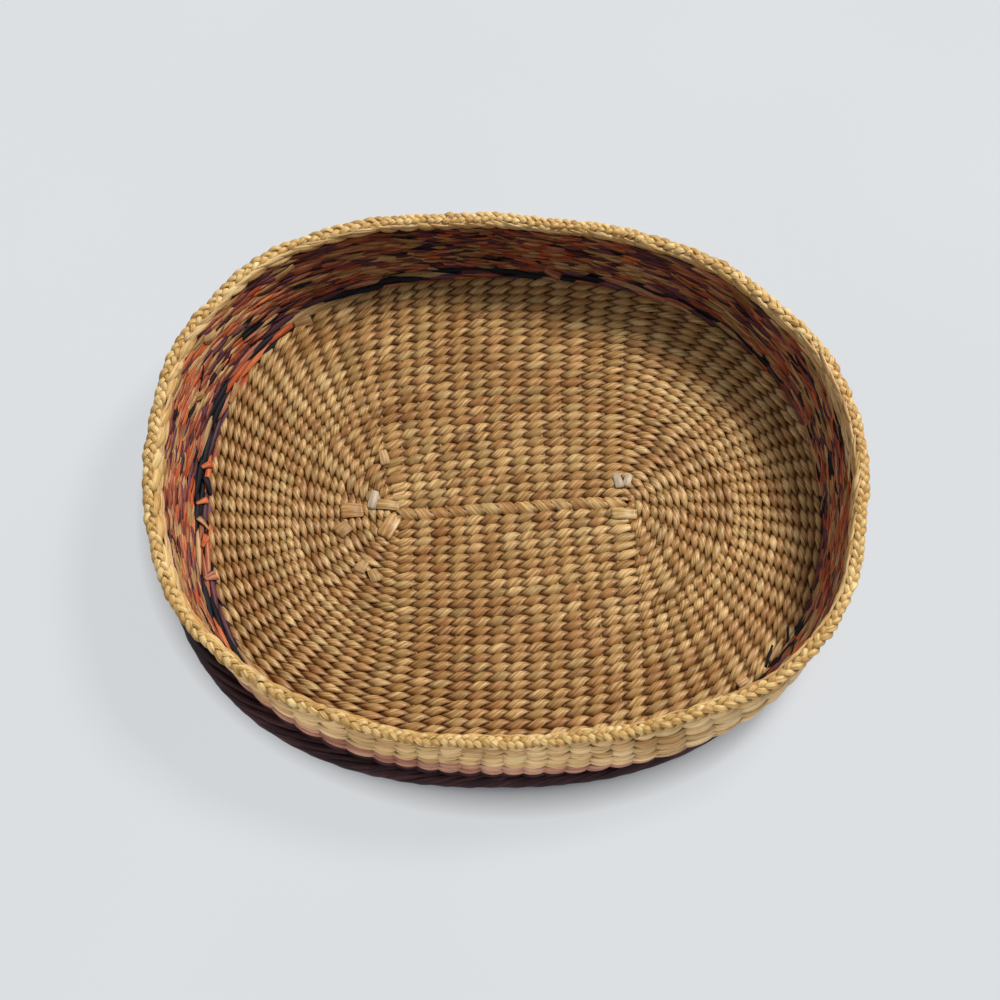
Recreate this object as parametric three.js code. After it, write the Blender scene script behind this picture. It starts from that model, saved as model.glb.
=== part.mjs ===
// Oval twined straw basket. Stakes lie across the base and fan out round both ends, two straw strands
// are wound along them as unbroken spirals, one on each side of the stakes, the stakes turn up at the
// foot into a low flared wall, and a braid closes the rim.
// Millimetres, +Z up, X along the oval. The origin is on the floor under the middle of the rim.
import * as THREE from 'three';

// The oval: rim centreline, how far the wall flares out at the ends and along the sides, the foot's
// turn-up, how far the base and the foot sit off the middle of the rim, and how many degrees the
// rim's oval is turned against the base
const rimLength = 335;
const rimWidth = 276;
const rimHeight = 47.6;
const endFlare = 14;
const sideFlare = 2;
const turnUp = 5;
const baseShift = 2;
const footShift = -1.5;
const rimTurn = -5;
const ovalSquareness = 2.35;

// Stakes: straight ones across the middle, and doubled ones in the fan at each end
const spineLength = 108;
const crossStakeCount = 13;
const crossStakeEdgePitch = 9.9;
const fanStakeCount = 14;
const stakeWidth = 2.2;
const stakeThickness = 2;
const foldSlot = 0.4;
const splitRadius = 52;

// Weft strands: height of a strand's crest, its row pitch on the base and on the wall
const strandCrest = 1.7;
const baseRowPitch = 4.85;
const wallRowPitch = 5;
const rowGap = 0.4;
const innerStart = 0.3;
const aubergineRows = 1;
const roseRows = 2;
const dyedRows = 6;

// Foot wale, which is thickest towards one side and thinnest opposite, and rim braid
const waleThickReach = 7.8;
const waleThinReach = 2.6;
const waleThickSide = 195;
const rimBraidWidth = 9;
const rimBraidHeight = 8.5;
const rimBraidChamfer = 2.3;
const rimGrooveDepth = 3;

// Clearance between pieces that lie against each other
const clearance = 0.35;

// Facets: chords of each outline along one long side and round one end
const sideChords = 4;
const endChords = 8;

const straw = { color: '#c39a5c', roughness: 0.6 };
const paleStraw = { color: '#d8b675', roughness: 0.55 };
const stakeStraw = { color: '#b58a50', roughness: 0.7 };
const aubergine = { color: '#47293a', roughness: 0.6 };
const rose = { color: '#b9787a', roughness: 0.6 };
const russet = { color: '#7b3d2f', roughness: 0.6 };

// The fold line where the flat base ends, and heights and offsets that follow from the sizes above
const baseLength = rimLength - 2 * (endFlare + turnUp);
const baseWidth = rimWidth - 2 * (sideFlare + turnUp);
const stakeLevel = strandCrest + clearance + stakeThickness / 2;
const footLevel = stakeLevel + turnUp;
const rimUnderside = rimHeight - rimBraidHeight / 2;
const weftOffset = stakeThickness / 2 + clearance;
const steepestTurn = Math.atan2(turnUp, turnUp - Math.abs(baseShift - footShift));
const cornerInset = weftOffset * Math.tan(steepestTurn / 2) + clearance / 2;
const waleTop = footLevel - 2.5 * clearance;
const chordCount = 2 * (sideChords + endChords);
const up = new THREE.Vector3(0, 0, 1);
const basket = new THREE.Group();

function addPiece(name, geometry, finish) {
  const mesh = new THREE.Mesh(geometry, new THREE.MeshStandardMaterial({ metalness: 0, ...finish }));
  mesh.name = name;
  basket.add(mesh);
}

// A solid through a row of sections with equal numbers of points, closed on itself or capped
function loft(sections, isRing) {
  const sides = sections[0].length;
  const points = sections.flat();
  const faces = [];
  const spans = isRing ? sections.length : sections.length - 1;
  for (let i = 0; i < spans; i += 1) {
    const here = i * sides;
    const next = ((i + 1) % sections.length) * sides;
    for (let k = 0; k < sides; k += 1) {
      const l = (k + 1) % sides;
      faces.push([here + k, here + l, next + l], [here + k, next + l, next + k]);
    }
  }
  if (!isRing) {
    const last = points.length - sides;
    for (let k = 1; k < sides - 1; k += 1) {
      faces.push([0, k + 1, k], [last, last + k, last + k + 1]);
    }
  }
  const volume = faces.reduce((sum, [a, b, c]) => {
    return sum + points[a].dot(new THREE.Vector3().crossVectors(points[b], points[c]));
  }, 0);
  const outward = volume > 0 ? faces : faces.map(([a, b, c]) => [a, c, b]);
  const geometry = new THREE.BufferGeometry();
  geometry.setAttribute('position', new THREE.Float32BufferAttribute(points.flatMap((p) => p.toArray()), 3));
  geometry.setIndex(outward.flat());
  geometry.computeVertexNormals();
  return geometry;
}

// Where a ray in plan leaves an oval of the given size, place and turn, lifted to a level
function ovalPoint(ray, length, width, centreX, turn, level) {
  let inside = 0;
  let outside = rimLength + rimWidth;
  for (let i = 0; i < 50; i += 1) {
    const reach = (inside + outside) / 2;
    const point = ray.from.clone().addScaledVector(ray.heading, reach);
    point.x -= centreX;
    point.applyAxisAngle(up, -turn);
    const x = Math.abs(point.x) / (length / 2);
    const y = Math.abs(point.y) / (width / 2);
    if (x ** ovalSquareness + y ** ovalSquareness < 1) inside = reach;
    else outside = reach;
  }
  return ray.from.clone().addScaledVector(ray.heading, inside).setZ(level);
}

// Rays in plan, counter-clockwise from the front left. They start on the spine, spread a little across
// the two long sides and turn round the focus at each end.
const spineHalf = spineLength / 2;
const sideHalf = (crossStakeCount * crossStakeEdgePitch) / 2;
const sideReach = 1 - (sideHalf / (baseLength / 2)) ** ovalSquareness;
const sideEdge = (baseWidth / 2) * sideReach ** (1 / ovalSquareness);
const fanStart = Math.atan2(-sideEdge, sideHalf - spineHalf);

function sideRay(share, side) {
  const from = new THREE.Vector3(baseShift + (2 * share - 1) * spineHalf, 0, 0);
  const heading = new THREE.Vector3((2 * share - 1) * (sideHalf - spineHalf), side * sideEdge, 0).normalize();
  return { from, heading };
}

function endRay(share, end) {
  const from = new THREE.Vector3(baseShift + end * spineHalf, 0, 0);
  const angle = fanStart * (1 - 2 * share);
  const heading = new THREE.Vector3(end * Math.cos(angle), end * Math.sin(angle), 0);
  return { from, heading };
}

const rays = [];
for (let i = 0; i < sideChords; i += 1) rays.push(sideRay(i / sideChords, -1));
for (let i = 0; i < endChords; i += 1) rays.push(endRay(i / endChords, 1));
for (let i = 0; i < sideChords; i += 1) rays.push(sideRay(1 - i / sideChords, 1));
for (let i = 0; i < endChords; i += 1) rays.push(endRay(i / endChords, -1));

const rightEnd = sideChords;
const backSide = sideChords + endChords;
const leftEnd = backSide + sideChords;

// Outlines of the mid-surface that the stakes follow, one corner for each ray
const spine = rays.map((ray) => ray.from.clone().setZ(stakeLevel));
const rimAngle = THREE.MathUtils.degToRad(rimTurn);
const grooveLevel = rimUnderside + rimGrooveDepth;
const baseEdge = rays.map((ray) => ovalPoint(ray, baseLength, baseWidth, baseShift, 0, stakeLevel));
const footEdge = rays.map((ray) => {
  return ovalPoint(ray, baseLength + 2 * turnUp, baseWidth + 2 * turnUp, footShift, 0, footLevel);
});
const rimLine = rays.map((ray) => ovalPoint(ray, rimLength, rimWidth, 0, rimAngle, rimHeight));
const wallTop = footEdge.map((foot, i) => atHeight(foot, rimLine[i], rimUnderside));
const stakeTip = footEdge.map((foot, i) => atHeight(foot, rimLine[i], grooveLevel - clearance));
const grooveTop = footEdge.map((foot, i) => atHeight(foot, rimLine[i], grooveLevel));

function atHeight(low, high, level) {
  return low.clone().lerp(high, (level - low.z) / (high.z - low.z));
}

// A place u on an outline, counted in corners and along the chord between two of them
function onOutline(outline, u) {
  const corner = Math.floor(u);
  const start = outline[corner % chordCount];
  const end = outline[(corner + 1) % chordCount];
  return start.clone().lerp(end, u - corner);
}

// Direction along the outline at u: the chord's own, or between two chords within reach of a corner
const chordLength = footEdge[0].distanceTo(footEdge[1]);

function alongOutline(u, reach) {
  const ahead = onOutline(footEdge, u + reach / chordLength);
  return ahead.sub(onOutline(footEdge, u - reach / chordLength + chordCount)).setZ(0).normalize();
}

function slopeNormal(low, high, along) {
  return high.clone().sub(low).cross(along).normalize();
}

// A slope's normal laid level, long enough to keep the thickness of what is cut off level there
function levelCut(normal) {
  const level = normal.clone().setZ(0);
  return level.divideScalar(level.lengthSq());
}

function mitre(first, second) {
  const sum = first.clone().add(second);
  return sum.multiplyScalar(2 / sum.lengthSq());
}

// Four corners of a flat stake: its two edges, raised and lowered by half its thickness
function stakeSection(edgeA, edgeB, normal) {
  const lift = normal.clone().multiplyScalar(stakeThickness / 2);
  return [edgeA.clone().add(lift), edgeB.clone().add(lift), edgeB.clone().sub(lift), edgeA.clone().sub(lift)];
}

// The leg of a stake from its tip in the rim down the wall to the base edge; side 1 or -1 says which
// edge comes first, and arriving is the leg's direction in plan on the base
function wallLeg(u, side, arriving) {
  const along = alongOutline(u, stakeWidth / 2);
  const base = onOutline(baseEdge, u);
  const foot = onOutline(footEdge, u);
  const tip = onOutline(stakeTip, u);
  const footNormal = slopeNormal(base, foot, along);
  const wallNormal = slopeNormal(foot, tip, along);
  const slant = Math.abs(arriving.clone().cross(along).z);
  const half = along.clone().multiplyScalar((side * stakeWidth) / 2);
  const baseHalf = half.clone().divideScalar(slant);
  const section = (centre, reach, normal) => {
    return stakeSection(centre.clone().add(reach), centre.clone().sub(reach), normal);
  };
  return [
    section(tip, half, levelCut(wallNormal)),
    section(foot, half, mitre(footNormal, wallNormal)),
    section(base, baseHalf, mitre(up, footNormal)),
  ];
}

function flatHeading(from, to) {
  return to.clone().sub(from).setZ(0).normalize();
}

// A straight stake from the front rim, under the weave and across the spine, to the back rim
function crossStake(index) {
  const share = (index + 0.5) / crossStakeCount;
  const front = share * sideChords;
  const back = backSide + (1 - share) * sideChords;
  const middle = onOutline(spine, front);
  const half = new THREE.Vector3(stakeWidth / 2, 0, 0);
  const frontLeg = wallLeg(front, 1, flatHeading(middle, onOutline(baseEdge, front)));
  const backLeg = wallLeg(back, -1, flatHeading(middle, onOutline(baseEdge, back)));
  const crossing = stakeSection(middle.clone().add(half), middle.clone().sub(half), up);
  return loft([...frontLeg, crossing, ...backLeg.reverse()], false);
}

// Doubled stakes start as close to the focus as their width allows, every second one further out
const fanStep = (-2 * fanStart) / fanStakeCount;
const doubledHalf = stakeWidth + foldSlot / 2;
const nearStart = (doubledHalf + clearance) / Math.tan(fanStep);
const farStart = (doubledHalf + clearance) / Math.tan(fanStep / 2);

// A stake folded in two near the focus: both legs run side by side, part at the split and rise to the rim
function fanStake(index, firstCorner) {
  const legStep = endChords / (2 * fanStakeCount);
  const middleU = firstCorner + (2 * index + 1) * legStep;
  const focus = spine[firstCorner];
  const axis = flatHeading(focus, onOutline(baseEdge, middleU));
  const across = up.clone().cross(axis);
  const spot = (radius, offset) => {
    return focus.clone().addScaledVector(axis, radius).addScaledVector(across, offset);
  };
  const foldStart = index % 2 === 0 ? nearStart : farStart;
  const leg = (side) => {
    const u = middleU + side * 0.5 * legStep;
    const split = [spot(splitRadius, side * doubledHalf), spot(splitRadius, (side * foldSlot) / 2)];
    const fold = [spot(foldStart, side * doubledHalf), spot(foldStart + stakeWidth, (side * foldSlot) / 2)];
    const arriving = flatHeading(split[0].clone().add(split[1]).multiplyScalar(0.5), onOutline(baseEdge, u));
    return [...wallLeg(u, side, arriving), stakeSection(...split, up), stakeSection(...fold, up)];
  };
  return loft([...leg(-1), ...leg(1).reverse()], false);
}

for (let i = 0; i < crossStakeCount; i += 1) {
  addPiece(`cross_stake_${i + 1}`, crossStake(i), stakeStraw);
}
for (const [end, firstCorner] of [['right', rightEnd], ['left', leftEnd]]) {
  for (let i = 0; i < fanStakeCount; i += 1) {
    addPiece(`fan_stake_${end}_${i + 1}`, fanStake(i, firstCorner), stakeStraw);
  }
}

// A strand wound as one unbroken spiral over a field of rows. The field runs from 0 to 1, the first turn
// grows out of its lower edge and the last one narrows against its upper edge.
// spot gives the point at a place u round the outline, a share of the field and a height over the stakes.
function spiralStrand(rows, gapShare, fromTurn, toTurn, spot, crest) {
  const places = [fromTurn * chordCount + clearance / chordLength];
  for (let u = Math.floor(places[0]) + 1; u < toTurn * chordCount; u += 1) places.push(u);
  places.push(toTurn * chordCount);
  const sections = places.map((u) => {
    const low = Math.max(u / chordCount - 1, 0) / rows + gapShare / 2;
    const high = Math.min(u / chordCount, rows) / rows - gapShare / 2;
    return [spot(u, low, 0), spot(u, high, 0), spot(u, (low + high) / 2, crest)];
  });
  return loft(sections, false);
}

// Turns of a whole field, which starts and ends where the strand is a third of a row wide
const taper = 1 / 3;

// Base weft: the upper strand over the stakes, and the lower one under them with its flat side down
const endRun = (baseLength - spineLength) / 2;
const baseRows = Math.round(baseWidth / 2 / baseRowPitch);
const baseGap = rowGap / (endRun - cornerInset - innerStart);
const firstShare = innerStart / endRun;
const lastShare = 1 - cornerInset / endRun;

function baseSpot(u, share, height) {
  const reach = firstShare + share * (lastShare - firstShare);
  return onOutline(spine, u).lerp(onOutline(baseEdge, u), reach).setZ(height);
}

const upperFace = stakeLevel + weftOffset;
const upperSpot = (u, share, height) => baseSpot(u, share, upperFace + height);
const baseTurns = baseRows + 1 - taper;
addPiece('base_weft_upper', spiralStrand(baseRows, baseGap, taper, baseTurns, upperSpot, strandCrest), straw);
addPiece('base_weft_lower', spiralStrand(baseRows, baseGap, taper, baseTurns, baseSpot, strandCrest), straw);

// Wall weft: side 1 lies inside the stakes and side -1 outside them
const wallHeight = rimUnderside - footLevel;
const wallRows = Math.round((wallHeight - cornerInset) / wallRowPitch);
const wallGap = rowGap / wallHeight;

function wallSpot(side) {
  const lowShare = (side > 0 ? cornerInset : clearance) / wallHeight;
  const highShare = 1 - clearance / wallHeight;
  return (u, share, height) => {
    const low = onOutline(footEdge, u);
    const high = onOutline(wallTop, u);
    const normal = slopeNormal(low, high, alongOutline(u, chordLength / 2));
    const point = low.lerp(high, lowShare + share * (highShare - lowShare));
    return point.addScaledVector(normal, side * (weftOffset + height));
  };
}

function wallBand(name, side, fromTurn, toTurn, finish) {
  addPiece(name, spiralStrand(wallRows, wallGap, fromTurn, toTurn, wallSpot(side), strandCrest), finish);
}

const wallTurns = wallRows + 1 - taper;
wallBand('wall_weft_inner_dyed', 1, taper, dyedRows + taper, russet);
wallBand('wall_weft_inner_natural', 1, dyedRows + taper, wallTurns, straw);
wallBand('wall_weft_outer_aubergine', -1, taper, aubergineRows + taper, aubergine);
wallBand('wall_weft_outer_rose', -1, aubergineRows + taper, aubergineRows + roseRows + taper, rose);
wallBand('wall_weft_outer_natural', -1, aubergineRows + roseRows + taper, wallTurns, straw);

// A point in the turn of the foot: a share of the way up it, at a height over its inner or outer side
function turnSpot(i, side, inset, share, height) {
  const normal = slopeNormal(baseEdge[i], footEdge[i], alongOutline(i, chordLength / 2));
  const run = footEdge[i].clone().sub(baseEdge[i]);
  const ends = inset / run.length();
  const point = baseEdge[i].clone().addScaledVector(run, ends + share * (1 - 2 * ends));
  return point.addScaledVector(normal, side * (weftOffset + height));
}

// A plain row in the turn of the foot, inside the stakes
function footRow() {
  const profile = [[0, 0], [1, 0], [0.5, strandCrest]];
  const sections = rays.map((ray, i) => {
    return profile.map(([share, height]) => turnSpot(i, 1, cornerInset, share, height));
  });
  return loft(sections, true);
}

// The thick rope-like wale outside the stakes: it lies against the turn of the foot, stands out from the
// foot edge under the first row of the wall, and its toe lies just above the floor under the base's edge
function footWale() {
  const rise = waleTop - clearance;
  const profile = [[0.72, 1], [1, 0.6], [0.85, 0.12]];
  const thickSide = THREE.MathUtils.degToRad(waleThickSide);
  const sections = rays.map((ray, i) => {
    const outward = alongOutline(i, chordLength / 2).cross(up);
    const thickShare = (1 + Math.cos(Math.atan2(footEdge[i].y, footEdge[i].x) - thickSide)) / 2;
    const reach = waleThinReach + thickShare * (waleThickReach - waleThinReach);
    const outside = profile.map(([out, height]) => {
      return footEdge[i].clone().addScaledVector(outward, out * reach).setZ(clearance + height * rise);
    });
    const toe = baseEdge[i].clone().setZ(clearance);
    return [turnSpot(i, -1, clearance / 2, 0, 0), turnSpot(i, -1, clearance / 2, 1, 0), ...outside, toe];
  });
  return loft(sections, true);
}

addPiece('foot_wale', footWale(), aubergine);
addPiece('foot_row_inner', footRow(), russet);

// Rim braid: a ring with cut corners and a groove underneath that takes the tips of the stakes
function rimBraid() {
  const half = rimBraidWidth / 2;
  const flat = half - rimBraidChamfer;
  const sections = rays.map((ray, i) => {
    const along = alongOutline(i, chordLength / 2);
    const outward = along.clone().cross(up);
    const groove = weftOffset * levelCut(slopeNormal(footEdge[i], rimLine[i], along)).length();
    const from = (point, offset, level) => point.clone().addScaledVector(outward, offset).setZ(level);
    const edge = (offset, rise) => from(rimLine[i], offset, rimUnderside + rise);
    const upper = rimBraidHeight - rimBraidChamfer;
    return [
      from(wallTop[i], groove, rimUnderside),
      from(wallTop[i], flat, rimUnderside),
      edge(half, rimBraidChamfer),
      edge(half, upper),
      edge(flat, rimBraidHeight),
      edge(-flat, rimBraidHeight),
      edge(-half, upper),
      edge(-half, rimBraidChamfer),
      from(wallTop[i], -flat, rimUnderside),
      from(wallTop[i], -groove, rimUnderside),
      from(grooveTop[i], -groove, grooveLevel),
      from(grooveTop[i], groove, grooveLevel),
    ];
  });
  return loft(sections, true);
}

addPiece('rim_braid', rimBraid(), paleStraw);

export default basket;
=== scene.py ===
# Oval twined straw basket: flattened straw twined round stakes, a dyed wall and a plaited rim.
# Lengths are millimetres in the part's own frame and become metres when a mesh is made.
import math

import bpy
import numpy as np
from mathutils import Matrix, Vector


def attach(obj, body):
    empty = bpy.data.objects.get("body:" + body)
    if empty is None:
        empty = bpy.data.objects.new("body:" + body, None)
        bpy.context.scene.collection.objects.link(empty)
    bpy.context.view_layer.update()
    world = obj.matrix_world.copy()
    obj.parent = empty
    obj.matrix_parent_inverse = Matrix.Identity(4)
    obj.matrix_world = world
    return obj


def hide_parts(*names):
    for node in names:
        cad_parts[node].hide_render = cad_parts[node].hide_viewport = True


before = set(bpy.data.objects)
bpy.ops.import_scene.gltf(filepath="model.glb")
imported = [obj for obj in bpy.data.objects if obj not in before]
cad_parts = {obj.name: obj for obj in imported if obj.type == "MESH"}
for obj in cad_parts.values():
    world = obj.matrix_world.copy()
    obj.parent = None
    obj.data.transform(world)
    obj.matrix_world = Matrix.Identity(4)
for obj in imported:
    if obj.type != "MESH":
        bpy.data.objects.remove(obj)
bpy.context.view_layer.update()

MM = 0.001
RIGHTWARDS, BACKWARDS, UP = np.eye(3)

# The oval: rim centreline and its turn against the base in degrees, flare of the wall, turn-up of the foot,
# and how far the base and the foot sit off the middle of the rim
RIM_LENGTH = 335
RIM_WIDTH = 276
RIM_HEIGHT = 47.6
RIM_TURN = -5
END_FLARE = 14
SIDE_FLARE = 2
TURN_UP = 5
BASE_SHIFT = 2
FOOT_SHIFT = -1.5
OVAL_SQUARENESS = 2.35

# Stakes: straight ones across the base, and straws folded in two that fan out from each end of the spine
SPINE_LENGTH = 108
CROSS_STAKES = 13
CROSS_STAKE_EDGE_PITCH = 9.9
FAN_STAKES = 14
STAKE_HALF_WIDTH = 1.1
STAKE_HALF_THICKNESS = 1.0
STAKE_LEVEL = 3.05

# Levels of the wall
RIM_UNDERSIDE = 43.35
WALL_ROWS = 7

# Derived sizes
BASE_LENGTH = RIM_LENGTH - 2 * (END_FLARE + TURN_UP)
BASE_WIDTH = RIM_WIDTH - 2 * (SIDE_FLARE + TURN_UP)
SPINE_HALF = SPINE_LENGTH / 2
SIDE_HALF = CROSS_STAKES * CROSS_STAKE_EDGE_PITCH / 2
SIDE_EDGE = BASE_WIDTH / 2 * (1 - (2 * SIDE_HALF / BASE_LENGTH) ** OVAL_SQUARENESS) ** (1 / OVAL_SQUARENESS)
FAN_START = math.atan2(-SIDE_EDGE, SIDE_HALF - SPINE_HALF)
FOOT_LEVEL = STAKE_LEVEL + TURN_UP
WALL_PITCH = (RIM_UNDERSIDE - FOOT_LEVEL) / WALL_ROWS

# Places round the basket are counted in stake legs, counter-clockwise from the front left
RIGHT_FAN = CROSS_STAKES
BACK_SIDE = RIGHT_FAN + 2 * FAN_STAKES
LEFT_FAN = BACK_SIDE + CROSS_STAKES
LEGS = LEFT_FAN + 2 * FAN_STAKES
PLACES_PER_LEG = 40
HALVINGS = 40


def unit(vectors):
    return vectors / np.maximum(np.linalg.norm(vectors, axis=-1, keepdims=True), 1e-9)


def dot(first, second):
    return np.sum(first * second, axis=-1, keepdims=True)


def stake_rays(place):
    """Start on the spine and heading in plan of the stake leg at each place."""
    right = (place >= RIGHT_FAN) & (place < BACK_SIDE)
    left = place >= LEFT_FAN
    front = place < RIGHT_FAN
    along_side = np.where(front, 2 * place / CROSS_STAKES - 1, 1 - 2 * (place - BACK_SIDE) / CROSS_STAKES)
    spread = np.select([right, left], [1.0, -1.0], along_side)
    turned = np.where(right, place - RIGHT_FAN, place - LEFT_FAN) / (2 * FAN_STAKES)
    angle = FAN_START * (1 - 2 * turned)
    fan = right | left
    x = np.where(fan, spread * np.cos(angle), spread * (SIDE_HALF - SPINE_HALF))
    y = np.where(fan, spread * np.sin(angle), np.where(front, -SIDE_EDGE, SIDE_EDGE))
    start = np.stack([BASE_SHIFT + spread * SPINE_HALF, np.zeros_like(place)], -1)
    return start, unit(np.stack([x, y], -1))


PLACES = np.arange(LEGS * PLACES_PER_LEG) / PLACES_PER_LEG
RAY_STARTS, RAY_HEADINGS = stake_rays(PLACES)


def oval(length, width, centre_x, turn=0):
    """Where each ray leaves an oval, found by halving."""
    cosine, sine = math.cos(math.radians(turn)), math.sin(math.radians(turn))
    inside = np.zeros(len(PLACES))
    outside = np.full(len(PLACES), float(RIM_LENGTH))
    for _ in range(HALVINGS):
        reach = (inside + outside) / 2
        spots = RAY_STARTS + RAY_HEADINGS * reach[:, None]
        x, y = spots[:, 0] - centre_x, spots[:, 1]
        across = np.abs(x * cosine + y * sine) / (length / 2)
        deep = np.abs(y * cosine - x * sine) / (width / 2)
        within = across ** OVAL_SQUARENESS + deep ** OVAL_SQUARENESS < 1
        inside = np.where(within, reach, inside)
        outside = np.where(within, outside, reach)
    return RAY_STARTS + RAY_HEADINGS * inside[:, None]


BASE_EDGE = oval(BASE_LENGTH, BASE_WIDTH, BASE_SHIFT)
FOOT_EDGE = oval(BASE_LENGTH + 2 * TURN_UP, BASE_WIDTH + 2 * TURN_UP, FOOT_SHIFT)
RIM_LINE = oval(RIM_LENGTH, RIM_WIDTH, 0, RIM_TURN)


def around(outline, place):
    """Points of an outline at places round the basket."""
    return np.stack([np.interp(place, PLACES, outline[:, k], period=LEGS) for k in (0, 1)], -1)


def at_level(plan, level):
    """Points of a plan, lifted to a level."""
    level = np.asarray(level, float)[..., None]
    return np.concatenate([plan, np.broadcast_to(level, plan.shape[:-1] + (1,))], -1)


# Share of the way from the spine at which the base starts to turn up, over what share, and how far
EDGE_TURN = 0.97
EDGE_TURN_RUN = 0.04
EDGE_LIFT = 1.2
# Distance along a row, in stake legs, over which its direction is taken
DIRECTION_STEP = 0.2


def base_point(place, share):
    """Middle of the stakes on the base, at a share of the way from the spine to the edge."""
    start = around(RAY_STARTS, place)
    share = np.asarray(share, float)
    turned = np.clip((share - EDGE_TURN) / EDGE_TURN_RUN, 0, 1)
    plan = start + (around(BASE_EDGE, place) - start) * share[..., None]
    return at_level(plan, STAKE_LEVEL + EDGE_LIFT * turned ** 2)


def wall_point(place, level):
    """Middle of the stakes on the wall."""
    foot = around(FOOT_EDGE, place)
    rise = (np.asarray(level, float) - FOOT_LEVEL) / (RIM_HEIGHT - FOOT_LEVEL)
    return at_level(foot + (around(RIM_LINE, place) - foot) * rise[..., None], level)


def wall_frame(place, level):
    """Directions along the row, up the wall and into the basket."""
    along = unit(wall_point(place + DIRECTION_STEP, level) - wall_point(place - DIRECTION_STEP, level))
    slope = unit(wall_point(place, level + 1) - wall_point(place, level))
    return along, slope, unit(np.cross(slope, along))


# Waves round the rim, which fade towards the base: height, how many go round, and where they start
LEAN_WAVES = ((0.6, 5, 2.1), (0.5, 9, 0.0), (0.45, 16, 1.0))
LIFT_WAVES = ((0.8, 2, 1.3), (0.6, 7, 0.4))
# Swells of the base: height, and lengths along both axes
SWELL = 0.35
SWELL_ALONG = 27
SWELL_ACROSS = 33
# At the front right the wall bulges and the rim above it is pushed in
BULGE = 6
BULGE_SIDE = -50
BULGE_FOOT = 8
BULGE_HEIGHT = 40
DENT = 9
DENT_SIDE = -66
HOLLOW_SPREAD = 0.43
# Both ends of the base sit a little to the right of the rim, apart from the front right
RIGHT_END_SHIFT = 7
LEFT_END_SHIFT = 4
UNSHIFTED_FRONT = -95
SHIFTED_FRONT = -10
# The spine is turned against the edge of the base, in degrees
SPINE_TURN = 5


def waves(angle, shapes):
    return sum(height * np.sin(count * angle + start) for height, count, start in shapes)


def hollow(angle, side):
    """A soft patch of the wall round a side given in degrees."""
    return np.exp(-((angle - math.radians(side)) / HOLLOW_SPREAD) ** 2)


def hand_shaped(points, left_shift):
    """The small unevenness of hand work: the wall leans and waves a little, the base isn't quite flat."""
    x, y, z = points[..., 0], points[..., 1], points[..., 2]
    angle = np.arctan2(y, x - BASE_SHIFT)
    rise = np.clip(z / RIM_HEIGHT, 0, 1)
    belly = np.sin(np.pi * np.clip((z - BULGE_FOOT) / BULGE_HEIGHT, 0, 1))
    lean = rise * waves(angle, LEAN_WAVES)
    lean = lean + BULGE * belly * hollow(angle, BULGE_SIDE) - DENT * rise ** 2 * hollow(angle, DENT_SIDE)
    lift = rise * waves(angle, LIFT_WAVES)
    swell = (1 - rise) * SWELL * (1 + np.sin(x / SWELL_ALONG) * np.cos(y / SWELL_ACROSS))
    low = np.clip((RIM_HEIGHT - z) / (RIM_HEIGHT - FOOT_LEVEL), 0, 1)
    endwise = x / (BASE_LENGTH / 2)
    behind_front = np.clip((y - UNSHIFTED_FRONT) / (SHIFTED_FRONT - UNSHIFTED_FRONT), 0, 1)
    shift = np.maximum(RIGHT_END_SHIFT * endwise * behind_front, -left_shift * endwise)
    inside_edge = 1 - endwise ** 2 - (y / (BASE_WIDTH / 2)) ** 2
    turn = math.radians(SPINE_TURN) * low * np.clip(inside_edge, 0, 1)
    moved = points.copy()
    moved[..., 0] += lean * np.cos(angle) + low * shift - turn * y
    moved[..., 1] += lean * np.sin(angle) + turn * x
    moved[..., 2] = np.maximum(z + lift + swell, 0)
    return moved


# Straw meshes: every strand is a closed eight-sided tube, flat in section

SIDES = 8
SECTION = 2 * np.pi * np.arange(SIDES) / SIDES - np.pi / 2
END_CAP = np.array([[0, 1, 2, 3], [0, 3, 4, 7], [4, 5, 6, 7]])
# Powers of the section's cosine and sine, which make it a little squarer than an ellipse
WIDTH_POWER = 0.8
THICKNESS_POWER = 0.9
# Each strand starts at another place of the fibre pattern
GRAIN_STEP = 37.0
GRAIN_CYCLE = 97


def signed_power(wave, power):
    return np.sign(wave) * np.abs(wave) ** power


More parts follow.
